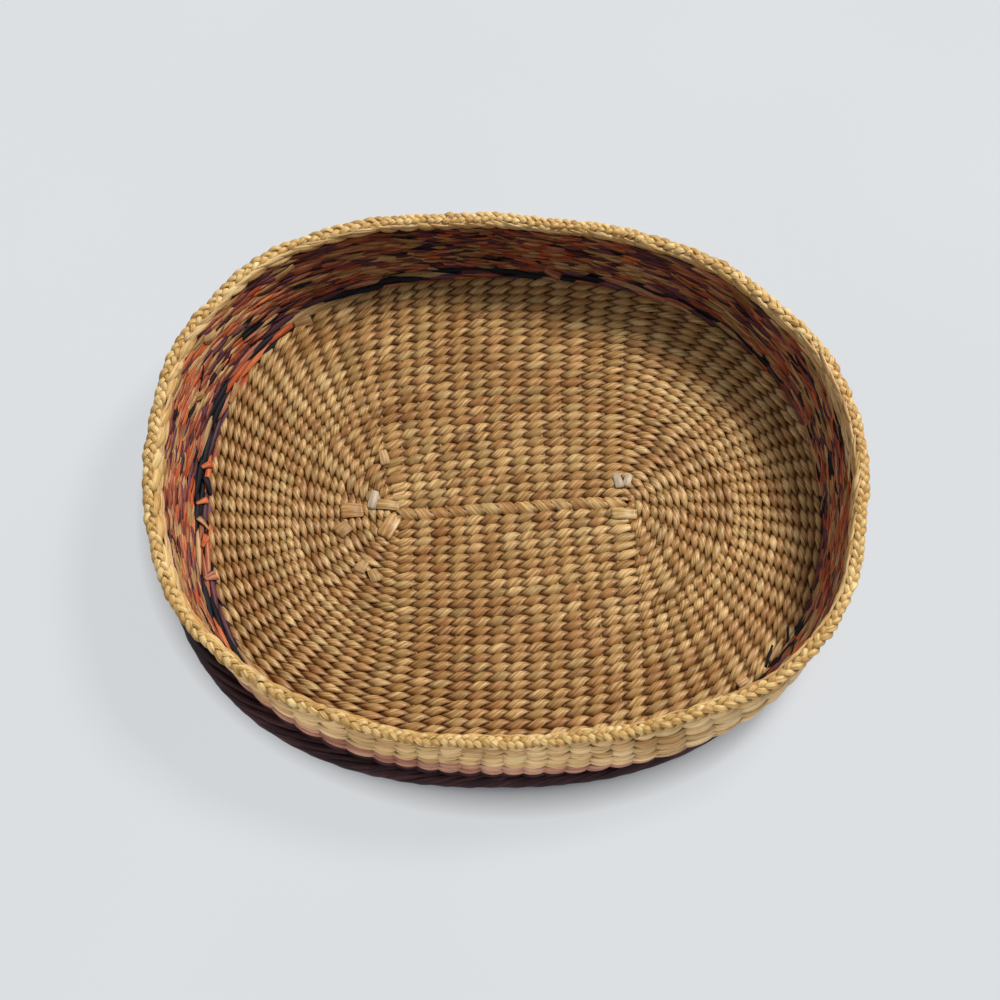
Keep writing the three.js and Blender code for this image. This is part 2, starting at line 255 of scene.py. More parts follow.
class StrawBundle:
    """Strands gathered into one piece, with their length and girth as UV and a tone for each strand."""

    def __init__(self, left_shift=LEFT_END_SHIFT):
        self.points, self.faces, self.uvs = [], [], []
        self.tones, self.dips, self.finishes = [], [], []
        self.count = 0
        self.left_shift = left_shift

    def lay(self, path, outward, half_width, half_thickness, tone, dip, finish=0, ring=False, bluntness=1):
        """Adds strands that follow paths of shape (strands, steps, 3), flat side facing outward. tone is a
        strand's own shade and dip how deep it lies between its neighbours, which the materials paint as
        shade; finish picks its material."""
        strands, steps, _ = path.shape
        along = np.roll(path, -1, 1) - np.roll(path, 1, 1) if ring else np.gradient(path, axis=1)
        along = unit(along)
        thin = unit(outward - dot(outward, along) * along)
        wide = np.cross(thin, along)
        spread = signed_power(np.cos(SECTION), WIDTH_POWER / bluntness)
        crown = signed_power(np.sin(SECTION), THICKNESS_POWER / bluntness)
        widths = np.broadcast_to(half_width, (strands, steps))[..., None, None]
        thicknesses = np.broadcast_to(half_thickness, (strands, steps))[..., None, None]
        points = path[:, :, None] + wide[:, :, None] * widths * spread[:, None]
        points = points + thin[:, :, None] * thicknesses * crown[:, None]
        index = self.count + np.arange(strands * steps * SIDES).reshape(strands, steps, SIDES)
        spans = steps if ring else steps - 1
        here = index[:, np.arange(spans)]
        there = index[:, (np.arange(spans) + 1) % steps]
        quads = np.stack([here, np.roll(here, -1, 2), np.roll(there, -1, 2), there], -1)
        finish = np.broadcast_to(finish, (strands,))
        self.points.append(points.reshape(-1, 3))
        self.faces.append(quads.reshape(-1, 4))
        self.uvs.append(self.straw_uv(path, np.max(widths), quads.shape[:3]))
        self.finishes.append(np.repeat(finish, spans * SIDES))
        if not ring:
            caps = np.concatenate([index[:, 0][:, END_CAP[:, ::-1]], index[:, -1][:, END_CAP]], 1)
            self.faces.append(caps.reshape(-1, 4))
            self.uvs.append(np.zeros((caps.size, 2)))
            self.finishes.append(np.repeat(finish, caps.shape[1]))
        for values, value in ((self.tones, tone), (self.dips, dip)):
            values.append(np.repeat(np.broadcast_to(value, (strands, steps)).reshape(-1), SIDES))
        self.count += strands * steps * SIDES

    def straw_uv(self, path, half_width, faces):
        """UV of each face's corners: millimetres along the strand and round it."""
        strands, spans, _ = faces
        step_length = np.linalg.norm(np.diff(path, axis=1, append=path[:, :1]), axis=-1)
        reach = np.concatenate([np.zeros((strands, 1)), np.cumsum(step_length, 1)], 1)
        first = self.count % GRAIN_CYCLE
        reach = reach + GRAIN_STEP * np.arange(first, first + strands)[:, None]
        girth = 4 * half_width * np.arange(SIDES + 1) / SIDES
        u0 = np.broadcast_to(reach[:, :spans, None], faces)
        u1 = np.broadcast_to(reach[:, 1:spans + 1, None], faces)
        v0 = np.broadcast_to(girth[:-1], faces)
        v1 = np.broadcast_to(girth[1:], faces)
        corners = [np.stack(corner, -1) for corner in ((u0, v0), (u0, v1), (u1, v1), (u1, v0))]
        return np.stack(corners, -2).reshape(-1, 2)

    def make(self, name, materials):
        """The bundle as one mesh object."""
        points = hand_shaped(np.concatenate(self.points), self.left_shift) * MM
        faces = np.concatenate(self.faces)
        mesh = bpy.data.meshes.new(name)
        mesh.vertices.add(len(points))
        mesh.vertices.foreach_set("co", points.ravel().astype(np.float32))
        mesh.loops.add(faces.size)
        mesh.loops.foreach_set("vertex_index", faces.ravel().astype(np.int32))
        mesh.polygons.add(len(faces))
        mesh.polygons.foreach_set("loop_start", np.arange(0, faces.size, 4, dtype=np.int32))
        mesh.polygons.foreach_set("material_index", np.concatenate(self.finishes).astype(np.int32))
        mesh.update(calc_edges=True)
        mesh.polygons.foreach_set("use_smooth", np.ones(len(faces), bool))
        layer = mesh.uv_layers.new(name="straw")
        layer.data.foreach_set("uv", (np.concatenate(self.uvs) * MM).ravel().astype(np.float32))
        for label, values in (("tone", self.tones), ("dip", self.dips)):
            attribute = mesh.attributes.new(label, "FLOAT", "POINT")
            attribute.data.foreach_set("value", np.concatenate(values).astype(np.float32))
        for material in materials:
            mesh.materials.append(material)
        mesh.validate()
        piece = bpy.data.objects.new(name, mesh)
        bpy.context.scene.collection.objects.link(piece)
        return piece


def set_piece(bundle, name, materials, slot, *nodes):
    """Makes a bundle, seats it on the basket's one body and hides the CAD solids that it stands for."""
    piece = bundle.make(name, materials)
    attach(piece, "root")
    if nodes:
        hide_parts(*nodes)


# Materials

def linear(hex_colour):
    """An sRGB hex colour as linear RGBA."""
    parts = [int(hex_colour[i:i + 2], 16) / 255 for i in (1, 3, 5)]
    return [c / 12.92 if c <= 0.04045 else ((c + 0.055) / 1.055) ** 2.4 for c in parts] + [1.0]


def empty_tree(owner):
    """The node tree of a material or world, with nothing in it."""
    owner.use_nodes = True
    owner.node_tree.nodes.clear()
    return owner.node_tree


def add_node(tree, kind, inputs=None, **settings):
    """Adds a node with its settings. An input takes a value, an output, or a node for its first output."""
    made = tree.nodes.new("ShaderNode" + kind)
    for name, value in settings.items():
        setattr(made, name, value)
    for socket, value in (inputs or {}).items():
        if isinstance(value, bpy.types.Node):
            value = next(output for output in value.outputs if output.enabled)
        if isinstance(value, bpy.types.NodeSocket):
            tree.links.new(value, made.inputs[socket])
        else:
            made.inputs[socket].default_value = value
    return made


# Straw fibres are near 0.3 mm apart; they are drawn coarser so that they show in the render
FIBRE_WIDTH = 0.75
FIBRE_LENGTH = 16
FIBRE_DETAIL = 4
FIBRE_ROUGHNESS = 0.65
FIBRE_RELIEF = 0.3
RELIEF_STRENGTH = 0.6
BLOTCH_SIZE = 42
STAIN_SIZE = 16
# How strongly fibres, strands and blotches part in tone, and where the ramp's dark and light ends lie
FIBRE_CONTRAST = 1.7
TONE_CONTRAST = 0.35
BLOTCH_CONTRAST = 0.4
RAMP_ENDS = (0.18, 0.82)
# Undyed strands: a number drawn from the tone turns those above a limit red and those below one grey
CHANCE_FACTOR = 7.31
RED_ABOVE = 0.6
RED_SHARE = 0.35
GREY_BELOW = 0.35
GREY_SHARE = 0.3
STAIN_LIMITS = (0.66, 0.78)
STAIN_SHARE = 0.6
# Painted shade in the creases, spread of the roughness along the fibres, and the straw's refractive index
CREASE_SHADE_POWER = 1.7
CREASE_SHADE_SHARE = 0.85
SMOOTHER = 0.1
ROUGHER = 0.12
STRAW_IOR = 1.46


def straw(name, dark, middle, light, crease, roughness, specular, red=None, grey=None, stain=None):
    """Flattened, dried straw: fibres run along each strand and every strand has its own tone. Shade is
    painted into the creases where it dives between its neighbours. Undyed straw also turns red or grey in
    parts."""
    material = bpy.data.materials.new(name)
    tree = empty_tree(material)
    uv = add_node(tree, "UVMap", uv_map="straw")
    fibre_scale = (1 / (FIBRE_LENGTH * MM), 1 / (FIBRE_WIDTH * MM), 1)
    stretched = add_node(tree, "VectorMath", {0: uv, 1: fibre_scale}, operation="MULTIPLY")
    fibre = add_node(tree, "TexNoise", {"Vector": stretched, "Scale": 1, "Detail": FIBRE_DETAIL,
                                        "Roughness": FIBRE_ROUGHNESS})
    place = add_node(tree, "TexCoord").outputs["Object"]
    blotch = add_node(tree, "TexNoise", {"Vector": place, "Scale": 1 / (BLOTCH_SIZE * MM), "Detail": 2})
    tone = add_node(tree, "Attribute", attribute_name="tone").outputs["Fac"]
    dip = add_node(tree, "Attribute", attribute_name="dip").outputs["Fac"]
    # Each contrast pulls the shade to both sides of one half
    shade = (1 - FIBRE_CONTRAST - TONE_CONTRAST - BLOTCH_CONTRAST) / 2
    for part, contrast in ((fibre, FIBRE_CONTRAST), (tone, TONE_CONTRAST), (blotch, BLOTCH_CONTRAST)):
        shade = add_node(tree, "Math", {0: part, 1: contrast, 2: shade}, operation="MULTIPLY_ADD")
    colour = add_node(tree, "ValToRGB", {"Fac": shade})
    stops = colour.color_ramp.elements
    for stop, position, shown in zip(stops, RAMP_ENDS, (dark, light)):
        stop.position = position
        stop.color = linear(shown)
    stops.new(0.5).color = linear(middle)
    if red:
        chance = add_node(tree, "Math", {0: tone, 1: CHANCE_FACTOR}, operation="MULTIPLY")
        chance = add_node(tree, "Math", {0: chance}, operation="FRACT")
        reddened = add_node(tree, "MapRange", {"Value": chance, "From Min": RED_ABOVE, "To Max": RED_SHARE})
        greyed = add_node(tree, "MapRange", {"Value": chance, "From Min": GREY_BELOW, "From Max": 0.0,
                                             "To Max": GREY_SHARE})
        spots = add_node(tree, "TexNoise", {"Vector": place, "Scale": 1 / (STAIN_SIZE * MM), "Detail": 3})
        stained = add_node(tree, "MapRange", {"Value": spots, "From Min": STAIN_LIMITS[0],
                                              "From Max": STAIN_LIMITS[1], "To Max": STAIN_SHARE})
        for share, tint in ((reddened, red), (greyed, grey), (stained, stain)):
            colour = add_node(tree, "Mix", {0: share, 6: colour, 7: linear(tint)}, data_type="RGBA")
    # Painted shade: the colour darkens towards the crease colour where the strand dives between its
    # neighbours
    deep = add_node(tree, "Math", {0: dip, 1: CREASE_SHADE_POWER}, operation="POWER")
    crease_shaded = add_node(tree, "Math", {0: deep, 1: CREASE_SHADE_SHARE}, operation="MULTIPLY")
    colour = add_node(tree, "Mix", {0: crease_shaded, 6: colour, 7: linear(crease)}, data_type="RGBA")
    gloss = add_node(tree, "MapRange", {"Value": fibre, "To Min": roughness - SMOOTHER,
                                        "To Max": roughness + ROUGHER})
    relief = add_node(tree, "Bump", {"Height": fibre, "Strength": RELIEF_STRENGTH,
                                     "Distance": FIBRE_RELIEF * MM})
    shader = add_node(tree, "BsdfPrincipled", {"Base Color": colour, "Roughness": gloss, "Normal": relief,
                                               "IOR": STRAW_IOR, "Specular IOR Level": specular})
    add_node(tree, "OutputMaterial", {"Surface": shader})
    return material


# For each straw: dark, middle and light tone, crease colour of the painted shade, roughness, specular level,
# and tints of undyed straw.
# Pressed flat while damp: a satin face, with warm brown painted shade in the creases
natural_straw = straw("natural_straw_flattened", "#764a1d", "#a47943", "#dcb97f", "#572c07", 0.38, 0.42,
                      red="#9a6136", grey="#8d8152", stain="#4a2c20")
# Split and left rough: dull and darker, seen only in gaps
stake_straw = straw("stake_straw_split", "#6f4d26", "#96703d", "#b8935b", "#3f2710", 0.6, 0.3)
# Drawn tight in the plait: the palest straw, lighter along each turn and darker with painted shade where it
# passes under
pale_straw = straw("pale_straw_plaited", "#a0763a", "#d0a969", "#f0d59c", "#84602e", 0.45, 0.3,
                   red="#b9854c", grey="#b5a06c", stain="#6b4526")
# Bent round the stakes: pale bumps with dark painted shade between them
outer_straw = straw("pale_straw_twined", "#9c7440", "#cba571", "#e8cc9b", "#5b3d1b", 0.45, 0.3,
                    red="#c08d5e", grey="#bca877", stain="#7a5433")
# Dipped in weak dye: the straw's own yellow shows through the rose
rose_straw = straw("rose_dyed_straw", "#7f4f40", "#a3705c", "#c49c7f", "#4a2a22", 0.5, 0.3)
# Steeped in dark dye: nearly black, with a faint purple sheen
aubergine_straw = straw("aubergine_dyed_straw", "#150a0d", "#2b161a", "#4c3035", "#0a0506", 0.42, 0.22)
# Dyed straws of the inside: matt, streaked along the fibres, with painted shade where they dive
russet_straw = straw("russet_dyed_straw", "#5a2210", "#934930", "#c28461", "#260e08", 0.5, 0.25)
orange_straw = straw("orange_dyed_straw", "#802f13", "#b45028", "#d07e4b", "#3a150a", 0.5, 0.22)
plum_straw = straw("plum_dyed_straw", "#280e15", "#4a2029", "#754650", "#14070b", 0.48, 0.25)
ink_straw = straw("blue_black_dyed_straw", "#050508", "#0e0e14", "#24232c", "#030305", 0.55, 0.12)
# Undyed straw among the dyed: dulled by their dust
tan_straw = straw("tan_undyed_straw", "#6b4a27", "#9d7647", "#cba676", "#2f1c0a", 0.5, 0.3)
# Cut ends that the sun has bleached: greyish white
bleached_straw = straw("bleached_straw_end", "#84705a", "#ab9880", "#c9b9a2", "#6b573f", 0.45, 0.3)
DYES = [russet_straw, orange_straw, plum_straw, ink_straw, tan_straw]
ORANGE_DYE = DYES.index(orange_straw)
PLUM_DYE = DYES.index(plum_straw)


# Stakes

STAKE_TIP = 46
SPLIT_RADIUS = 52
# Fan stakes fold nearer to and further from the focus by turns, with a gap between their legs
FOLD_RADII = (12, 24)
FOLD_GAP = 0.2
# The bend from the wall to the base: how far it runs on the base, and where it starts on the wall
CORNER_RUN = 4
CORNER_TOP = 12
WALL_STEPS = 6
CORNER_STEPS = 6
CROSS_STEPS = 12
FOLD_STEPS = 5
SPLIT_STEPS = 3
DOUBLED_STEPS = 4
STAKE_TONE = 0.4
STAKE_DIP = 0.2
# Above this share of its heading a stake counts as upright
UPRIGHT = 0.999


def stake_leg(place):
    """A leg's centreline from its tip in the rim, down the wall and round the corner to the base edge."""
    spot = np.array([place])
    wall = wall_point(np.full(WALL_STEPS, place), np.linspace(STAKE_TIP, CORNER_TOP, WALL_STEPS))
    base = base_point(spot, np.array([1.0]))[0]
    start = base_point(spot, np.array([0.0]))[0]
    landing = base + unit(start - base) * CORNER_RUN
    pull = wall_point(spot, np.array([STAKE_LEVEL]))[0]
    t = np.linspace(0, 1, CORNER_STEPS + 1)[1:, None]
    corner = (1 - t) ** 2 * wall[-1] + 2 * t * (1 - t) * pull + t ** 2 * landing
    return np.concatenate([wall, corner])


def lay_stake(path, name, node):
    along = unit(np.gradient(path, axis=0))
    sideways = np.where(np.abs(along[:, 2:]) > UPRIGHT, RIGHTWARDS, np.cross(along, UP))
    outward = np.cross(sideways, along)
    bundle = StrawBundle()
    bundle.lay(path[None], outward[None], STAKE_HALF_WIDTH, STAKE_HALF_THICKNESS, STAKE_TONE, STAKE_DIP)
    set_piece(bundle, name, [stake_straw], "stake_straw", node)


def between(first, second, steps):
    """Points between two others."""
    t = np.linspace(0, 1, steps + 2)[1:-1, None]
    return first + (second - first) * t


def cross_stake(index):
    """A straight stake from the front rim, across the base, to the back rim."""
    front = stake_leg(index + 0.5)
    back = stake_leg(LEFT_FAN - index - 0.5)
    path = np.concatenate([front, between(front[-1], back[-1], CROSS_STEPS), back[::-1]])
    lay_stake(path, f"straight_stake_{index + 1}", f"cross_stake_{index + 1}")


def fan_stake(index, first_place, end):
    """A straw folded in two near the focus, its legs side by side up to the split."""
    middle = first_place + 2 * index + 1
    focus = base_point(np.array([middle]), np.array([0.0]))[0]
    edge = base_point(np.array([middle]), np.array([1.0]))[0]
    axis = unit(edge - focus)
    across = np.cross(UP, axis)
    apart = STAKE_HALF_WIDTH + FOLD_GAP
    near, far = stake_leg(middle - 0.5), stake_leg(middle + 0.5)
    near_split = focus + axis * SPLIT_RADIUS - across * apart
    far_split = focus + axis * SPLIT_RADIUS + across * apart
    bend = focus + axis * (FOLD_RADII[index % 2] + apart)
    turn = np.linspace(-np.pi / 2, np.pi / 2, FOLD_STEPS)[:, None]
    fold = bend - axis * apart * np.cos(turn) + across * apart * np.sin(turn)
    path = np.concatenate([near, between(near[-1], near_split, SPLIT_STEPS),
                           between(near_split, fold[0], DOUBLED_STEPS), fold,
                           between(fold[-1], far_split, DOUBLED_STEPS),
                           between(far_split, far[-1], SPLIT_STEPS), far[::-1]])
    lay_stake(path, f"folded_stake_{end}_{index + 1}", f"fan_stake_{end}_{index + 1}")


for number in range(CROSS_STAKES):
    cross_stake(number)
for number in range(FAN_STAKES):
    fan_stake(number, RIGHT_FAN, "right")
    fan_stake(number, LEFT_FAN, "left")


# Base weft: a twined pair in one spiral, and a row of its own along the spine

BASE_ROWS = 27
FIRST_ROW = 0.85
LAST_ROW_EXTRA = 0.3
# Outside these radii the pair goes round every doubled stake, or every second one
EVERY_STAKE_RADIUS = 30
SECOND_STAKE_RADIUS = 13
BASE_CREST = 2.05
CREST_RANGE = (0.9, 1.0)
STRAND_HALF_THICKNESS = 0.98
# In row pitches: sideways swing of a strand, half width at a crossing and what a crest adds to it
CROSSING_SWAY = 0.25
CROSSING_HALF_WIDTH = 0.46
CREST_EXTRA = 0.11
WIDTH_RANGE = (0.94, 1.06)
ROW_DRIFT = 0.09
CROSSING_OVERLAP = 0.2
CROSSING_LEAN = 0.7
CROSSING_STEPS = 6
CROSSING_DRIFT = 0.1
SIDE_BUMP_SLANT = 0.13
FAN_BUMP_SLANT = 0.03
# Tone: share that each bump has for itself, and number of bumps that share the rest
OWN_TONE = 0.65
TONE_RUN = 9
# Size at a strand's two ends, from which it grows to full within half a stake
STRAND_END = 0.1
# The spine's row: distance behind the middle at its left and right end, width, level and share of the painted
# crease shade
SPINE_BUMPS = CROSS_STAKES + 1
SPINE_ACROSS = (1.6, 0.85)
SPINE_PITCH = 6.6
SPINE_LIFT = -0.1
SPINE_CREASE_SHADE = 0.5
CROSSING_SEED, BASE_SEED, SPINE_SEED = 10, 11, 12


def base_share(turn):
    return (turn + FIRST_ROW) / BASE_ROWS


def base_crossings():
    """Turns of the spiral at which the pair goes round a stake: each leg on the sides and past the split,
    each doubled stake inside it, and only every second or fourth one near the focus."""
    places = []
    for turn in range(-1, BASE_ROWS + 1):
        for first, is_fan in ((0, False), (RIGHT_FAN, True), (BACK_SIDE, False), (LEFT_FAN, True)):
            if not is_fan:
                places += [turn + (first + k + 0.5) / LEGS for k in range(CROSS_STAKES)]
                continue
            for k in range(FAN_STAKES):
                middle = first + 2 * k + 1
                at = turn + middle / LEGS
                stake_run = around(BASE_EDGE, middle) - around(RAY_STARTS, middle)
                radius = base_share(at) * np.linalg.norm(stake_run)
                if radius > SPLIT_RADIUS:
                    places += [at - 0.5 / LEGS, at + 0.5 / LEGS]
                elif radius > EVERY_STAKE_RADIUS or k % (2 if radius > SECOND_STAKE_RADIUS else 4) == 1:
                    places.append(at)
    first = LEFT_FAN / LEGS - 1
    last = BASE_ROWS + LAST_ROW_EXTRA - FIRST_ROW
    crossings = np.array([place for place in places if first < place < last])
    draws = np.random.default_rng(CROSSING_SEED)
    uneven = draws.uniform(-CROSSING_DRIFT, CROSSING_DRIFT, len(crossings))
    return crossings + uneven * np.gradient(crossings)


def twine(bundle, centre, pitch, steps, which, hand, seed, slant, crease_shade_scale=1):
    """One strand of a twined pair round a row's centreline: half a turn for each stake, crests on the
    stakes. which tells the two strands apart, and hand is the sense of the twist."""
    draws = np.random.default_rng(seed)
    stakes = np.arange(int(steps[-1]) + 2)

    def uneven(low, high):
        return np.interp(steps, stakes, draws.uniform(low, high, len(stakes)))

    along = unit(np.gradient(centre, axis=0))
    across = np.cross(UP, along)
    phase = np.pi * (steps + which)
    top, side = np.cos(phase), np.sin(phase)
    lifted = BASE_CREST * uneven(*CREST_RANGE) * top
    skew = hand * slant * pitch * np.sin(2 * phase)
    aside = hand * CROSSING_SWAY * pitch * side + skew + pitch * uneven(-ROW_DRIFT, ROW_DRIFT)
    path = centre + UP * lifted[:, None] + across * aside[:, None]
    outward = UP * top[:, None] + across * (CROSSING_LEAN * hand * side)[:, None]
    half_width = pitch * uneven(*WIDTH_RANGE) * (CROSSING_HALF_WIDTH + CREST_EXTRA * np.abs(top))
    at_crossing = CROSSING_SWAY * pitch + CROSSING_OVERLAP
    half_thickness = STRAND_HALF_THICKNESS + (at_crossing - STRAND_HALF_THICKNESS) * side ** 2
    nearest = np.rint(steps).astype(int)
    own = draws.uniform(0, 1, len(stakes))[nearest]
    run = draws.uniform(0, 1, len(stakes) // TONE_RUN + 2)[nearest // TONE_RUN]
    ends = np.minimum(np.minimum(steps, steps[-1] - steps) * 2 + STRAND_END, 1)
    # The dip given last paints shade into the crease wherever the strand dives between two crests
    bundle.lay(path[None], outward[None], half_width * ends, half_thickness * ends,
               OWN_TONE * own + (1 - OWN_TONE) * run, crease_shade_scale * (1 - np.abs(top)))


def spiral_row(bundle, which):
    """The spiral; its bumps slant more along the straight sides than round the ends."""
    crossings = base_crossings()
    steps = np.arange((len(crossings) - 1) * CROSSING_STEPS + 1) / CROSSING_STEPS
    turn = np.interp(steps, np.arange(len(crossings)), crossings)
    place = turn * LEGS
    centre = base_point(place, base_share(turn))
    along = unit(np.gradient(centre, axis=0))
    stake_run = at_level(around(BASE_EDGE, place) - around(RAY_STARTS, place), 0)
    pitch = np.abs(dot(stake_run, np.cross(UP, along)))[:, 0] / BASE_ROWS
    corners = np.array([0, RIGHT_FAN, BACK_SIDE, LEFT_FAN])
    fades = np.stack([corners - 1, corners + 1], -1).ravel()
    on_side = np.interp(place, fades, (0, 1, 1, 0, 0, 1, 1, 0), period=LEGS)
    slant = FAN_BUMP_SLANT + (SIDE_BUMP_SLANT - FAN_BUMP_SLANT) * on_side
    twine(bundle, centre, pitch, steps, which, hand=1, seed=BASE_SEED, slant=slant)


def spine_row(bundle, which):
    """The row along the spine, twisted the other way."""
    steps = np.arange(SPINE_BUMPS * CROSSING_STEPS + 1) / CROSSING_STEPS
    x = BASE_SHIFT + (2 * (steps - 0.5) / CROSS_STAKES - 1) * SPINE_HALF
    y = np.linspace(*SPINE_ACROSS, len(x))
    centre = at_level(np.stack([x, y], -1), STAKE_LEVEL + SPINE_LIFT)
    pitch = np.full_like(x, SPINE_PITCH)
    twine(bundle, centre, pitch, steps, which, hand=-1, seed=SPINE_SEED, slant=SIDE_BUMP_SLANT,
          crease_shade_scale=SPINE_CREASE_SHADE)


def base_strand(which, name, node):
    bundle = StrawBundle()
    spiral_row(bundle, which)
    spine_row(bundle, which)
    set_piece(bundle, name, [natural_straw], "natural_straw", node)


base_strand(0, "base_strand_first", "base_weft_upper")
base_strand(1, "base_strand_second", "base_weft_lower")


# Wall rows: straw floats over one stake, which dive between the stakes at both ends

FLOAT_STEPS = 9
FLOAT_DRIFT = 0.3
FLOAT_TURN = 0.3
FLOAT_WIDTH_RANGE = (0.9, 1.15)
# A float's arch and outline: powers of half a sine wave, and shares left at its ends
ARCH_POWER = 0.65
OUTLINE_POWER = 0.7
END_WIDTH = 0.35
END_THICKNESS = 0.3
# Power of the half wave for the painted shade that darkens a float's ends, where it dives
DIP_POWER = 0.8
# How far a float stands off the stakes, and what looseness adds to that
STAND_OFF_RANGE = (0.96, 1.1)
LOOSE_STAND_OFF = 0.25

# Turns of the wall's spiral at which the colours change
AUBERGINE_START = -0.6
AUBERGINE_TURNS = 0.5
ROSE_TURNS = 2.4
DYED_TURNS = 6.33
INNER_TURNS = 7.4
OUTER_TURNS = 7.75
# Inside, the dyed rows climb to the rim at the back and leave a wider pale band at the other sides
BACK_LIFT = 0.15
BACK_DEPTH = 100
HIGHEST_FLOAT = 46.8
HIGHEST_BUMP = 45.6
NATURAL_SQUEEZE = 0.75
# Shares of the dyes; some straws take another dye than their float, and orange turns to plum at the back as
# painted shade
DYE_SHARES = (0.34, 0.17, 0.17, 0.04, 0.28)
ODD_STRAWS = 0.5
SHADE_PLUM_AT_BACK = 0.7
DYE_SEED = 100
# Floats inside are split into fine, loose straws; those outside are single broad bumps. size is half width
# and half thickness, slant the climb along a float, overlap its length in stakes, and stagger and loose how
# far it strays
INNER_FLOAT = (1.15, 0.7)
INSIDE = {"side": 1, "size": INNER_FLOAT, "slant": 1.8, "overlap": 1.7, "stagger": 0.35, "loose": 1.0}
OUTSIDE = {"side": -1, "size": (2.85, 0.95), "slant": 1.0, "overlap": 1.4, "stagger": 0.1, "loose": 0.2}
INNER_STRAWS = 4


def wall_floats(bundle, starts, levels, finish, seed, side, size, slant, overlap, stagger, loose, tilt=0):
    """Floats on the inside (side 1) or outside (side -1) of the wall. starts counts legs round the basket."""
    draws = np.random.default_rng(seed)
    count = len(starts)

    def uneven(low, high):
        return draws.uniform(low, high, (count, 1))

    u = np.linspace(0, 1, FLOAT_STEPS)
    half_wave = np.sin(np.pi * u)
    place = starts[:, None] + uneven(-stagger, stagger) + (u - 0.5) * overlap + 0.5
    climb = slant * uneven(1 - loose, 1 + loose) * (u - 0.5)
    level = levels[:, None] + climb + uneven(-FLOAT_DRIFT, FLOAT_DRIFT)
    along, _, inward = wall_frame(place, level)
    stand_off = uneven(STAND_OFF_RANGE[0], STAND_OFF_RANGE[1] + LOOSE_STAND_OFF * loose)
    arch = (STAKE_HALF_THICKNESS + size[1]) * half_wave ** ARCH_POWER * stand_off
    path = wall_point(place, level) + inward * (side * (arch + loose * (0.5 - u)))[..., None]
    outward = side * inward + tilt * UP - along * (np.cos(np.pi * u) * FLOAT_TURN)[:, None]
    shape = END_WIDTH + (1 - END_WIDTH) * half_wave ** OUTLINE_POWER
    thickness = size[1] * (END_THICKNESS + (1 - END_THICKNESS) * shape)
    # Painted shade: a float darkens towards its ends, where it dives between the stakes
    dip = np.broadcast_to(1 - half_wave ** DIP_POWER, place.shape)
    half_width = size[0] * shape * uneven(*FLOAT_WIDTH_RANGE)
    bundle.lay(path, outward, half_width, thickness, uneven(0, 1), dip, finish)


def at_back(place):
    """How far at the back a place is: none in front of the middle, one along the back."""
    return np.clip(around(FOOT_EDGE, place)[:, 1] / BACK_DEPTH, 0, 1)


def wall_band(name, materials, slot, node, turns, seed, lie, shares=(1,), straws=1, squeeze=0):
    """A stretch of the wall's spiral. Its floats are one or more straws, laid one above the other."""
    draws = np.random.default_rng(seed + DYE_SEED)
    starts = np.arange(round(turns[0] * LEGS), round(turns[1] * LEGS)).astype(float)
    back = at_back(starts)
    finish = np.repeat(draws.choice(len(shares), len(starts), p=shares), straws)
    other = draws.choice(len(shares), len(finish), p=shares)
    finish = np.where(draws.uniform(0, 1, len(finish)) < ODD_STRAWS, other, finish)
    # Painted shade on the back wall: there orange straws turn to plum
    dark = draws.uniform(0, 1, len(finish)) < SHADE_PLUM_AT_BACK * np.repeat(back, straws)
    finish = np.where(dark & (finish == ORANGE_DYE), PLUM_DYE, finish)
    levels = WALL_PITCH * (starts + 0.5) / LEGS
    if lie is INSIDE:
        levels = np.minimum(levels * (1 + BACK_LIFT * back), HIGHEST_FLOAT - FOOT_LEVEL)
    else:
        levels = np.minimum(levels, HIGHEST_BUMP - FOOT_LEVEL)
    height = WALL_PITCH * (1 - squeeze * back)
    offsets = ((np.arange(straws) + 0.5) / straws - 0.5) * height[:, None]
    levels = ((levels + FOOT_LEVEL)[:, None] + offsets).ravel()
    # Every second straw of a float is set half a stake along, so that no gap goes through the wall
    starts = np.repeat(starts, straws) + 0.5 * (np.arange(len(levels)) % straws % 2)
    bundle = StrawBundle()
    wall_floats(bundle, starts, levels, finish, seed, **lie)
    set_piece(bundle, name, materials, slot, node)


wall_band("wall_floats_dyed", DYES, "russet_straw", "wall_weft_inner_dyed",
          (0, DYED_TURNS), seed=21, lie=INSIDE, shares=DYE_SHARES, straws=INNER_STRAWS)
wall_band("wall_floats_natural", [outer_straw], "natural_straw", "wall_weft_inner_natural",
          (DYED_TURNS, INNER_TURNS), seed=22, lie=INSIDE, straws=INNER_STRAWS, squeeze=NATURAL_SQUEEZE)
wall_band("wall_bumps_aubergine", [aubergine_straw], "aubergine_straw", "wall_weft_outer_aubergine",
          (AUBERGINE_START, AUBERGINE_TURNS), seed=23, lie=OUTSIDE)
wall_band("wall_bumps_rose", [rose_straw], "rose_straw", "wall_weft_outer_rose",
          (AUBERGINE_TURNS, ROSE_TURNS), seed=24, lie=OUTSIDE)
wall_band("wall_bumps_natural", [outer_straw], "natural_straw", "wall_weft_outer_natural",
          (ROSE_TURNS, OUTER_TURNS), seed=25, lie=OUTSIDE)


# Foot: a thick rope of dyed straw outside the corner, and rows of dark floats inside it

WALE_STRANDS = 7
WALE_TWISTS = 11
WALE_STEPS = LEGS * 6
WALE_LEVEL = 3.75
WALE_HALF_HEIGHT = 3.4
# Reach past the foot's edge at the thick and the thin side, where the thick side is in degrees, and the share
# of the way from the base's edge to the foot's at which the rope starts
WALE_THICK_REACH = 7.8
WALE_THIN_REACH = 2.6
WALE_THICK_SIDE = 195
WALE_SEAT = 0.5
WALE_STRAND = (2.2, 1.2)
WALE_STRAND_SUNK = 0.7
WALE_SWELL = (0.9, 1.15)
WALE_DIP = 0.2
WALE_SEED = 31


